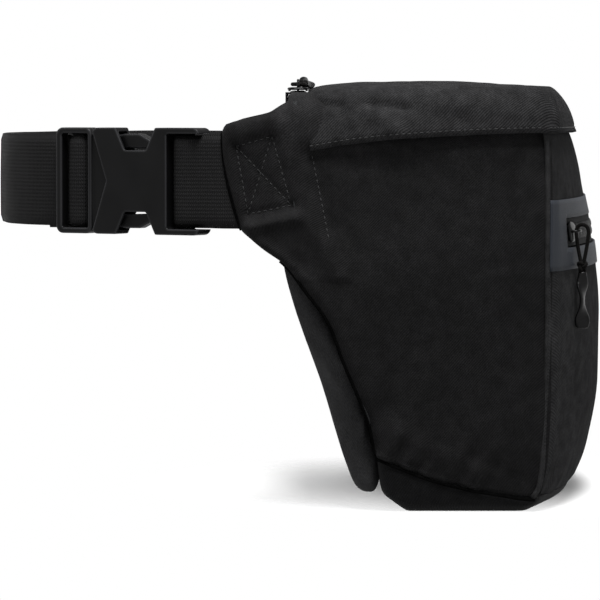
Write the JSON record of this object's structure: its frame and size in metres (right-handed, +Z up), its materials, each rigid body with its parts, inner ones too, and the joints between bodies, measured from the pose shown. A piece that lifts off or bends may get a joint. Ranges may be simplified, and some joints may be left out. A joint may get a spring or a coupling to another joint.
{
  "type": "waist pack",
  "caption": "Soft waist pack with a hooded zipped lid, padded belt wings, a webbing belt with a side-release buckle, and a zipped front pocket in a reflective patch.",
  "frame": {"origin": "on the floor under the middle of the whole object, belt included", "axes": "+X across the wearer's waist, the front of the pack faces -Y, +Z up"},
  "size_m": [0.2872, 0.2596, 0.1768],
  "materials": {
    "shell_fabric": "fine matte twill",
    "hood_fabric": "fine matte twill, slightly lighter in the light",
    "base_fabric": "smooth coated fabric",
    "back_fabric": "brushed knit",
    "foam": "closed-cell foam",
    "stiffener": "smooth sheet",
    "patch": "reflective film on fabric",
    "zip_tape": "woven tape",
    "zip_coil": "satin nylon coil",
    "zip_metal": "glossy black enamel",
    "cord": "braided cord",
    "pull_tab": "soft moulded plastic",
    "webbing": "ribbed nylon webbing",
    "buckle": "matte acetal"
  },
  "bodies": {
    "pack": {"side_panel_left": "shell_fabric", "side_panel_right": "shell_fabric", "wing_foam_left": "foam", "wing_foam_right": "foam", "wing_lining_left": "back_fabric", "wing_lining_right": "back_fabric", "back_panel": "shell_fabric", "back_cover": "back_fabric", "back_foam": "foam", "front_panel": "shell_fabric", "hood_visor": "hood_fabric", "bottom_panel": "base_fabric", "base_stiffener": "stiffener", "main_tape_rear": "zip_tape", "main_coil_rear": "zip_coil", "main_end_tabs": "shell_fabric", "pocket_surround": "patch", "pocket_pouch": "shell_fabric", "pocket_tape_upper": "zip_tape", "pocket_tape_lower": "zip_tape", "pocket_coil_upper": "zip_coil", "pocket_coil_lower": "zip_coil", "pocket_zip_stops": "zip_metal", "anchor_webbing": "webbing", "buckle_female": "buckle", "strap_far": "webbing"},
    "lid": {"lid_panel": "hood_fabric", "main_tape_lid": "zip_tape", "main_coil_lid": "zip_coil"},
    "main_slider": {"main_slider": "zip_metal", "main_pull_bail": "zip_metal"},
    "main_pull": {"main_pull_cord": "cord", "main_pull_tab": "pull_tab"},
    "pocket_slider": {"pocket_slider": "zip_metal", "pocket_pull_bail": "zip_metal"},
    "pocket_pull": {"pocket_pull_cord": "cord", "pocket_pull_tab": "pull_tab"},
    "buckle_male": {"buckle_male": "buckle", "strap_near": "webbing"},
    "arm_upper": {"buckle_arm_upper": "buckle"},
    "arm_lower": {"buckle_arm_lower": "buckle"}
  },
  "joints": [
    {"name": "lid_open", "type": "hinge", "parent": "pack", "child": "lid", "pos_m": [0, -0.0976, 0.1744], "axis": [1, 0, 0], "range_deg": [0, 80]},
    {"name": "main_zip_slide", "type": "slide", "parent": "lid", "child": "main_slider", "axis": [1, 0, 0], "range_m": [0, 0.23]},
    {"name": "main_pull_swing", "type": "hinge", "parent": "main_slider", "child": "main_pull", "pos_m": [-0.115, 0.0008, 0.17445], "axis": [0, -1, 0], "range_deg": [0, 150]},
    {"name": "pocket_zip_slide", "type": "hinge", "parent": "pack", "child": "pocket_slider", "pos_m": [0, 0.262, 0.1138], "axis": [0, 0, 1], "range_deg": [0, 32.3]},
    {"name": "pocket_pull_swing", "type": "hinge", "parent": "pocket_slider", "child": "pocket_pull", "pos_m": [-0.10969, -0.11606, 0.1144], "axis": [-0.9604, 0.2786, 0], "range_deg": [0, 100]},
    {"name": "buckle_slide", "type": "slide", "parent": "pack", "child": "buckle_male", "axis": [0.506, 0.8625, 0], "range_m": [0, 0.03]},
    {"name": "arm_upper_squeeze", "type": "hinge", "parent": "buckle_male", "child": "arm_upper", "pos_m": [-0.10741, 0.07956, 0.1506], "axis": [-0.8625, 0.506, 0], "range_deg": [0, 6], "stiffness_Nm_per_rad": 0.5},
    {"name": "arm_lower_squeeze", "type": "hinge", "parent": "buckle_male", "child": "arm_lower", "pos_m": [-0.10741, 0.07956, 0.1194], "axis": [-0.8625, 0.506, 0], "range_deg": [-6, 0], "stiffness_Nm_per_rad": 0.5}
  ],
  "couplings": [
    {"joint": "arm_lower_squeeze", "follows": "arm_upper_squeeze", "ratio": -1}
  ]
}
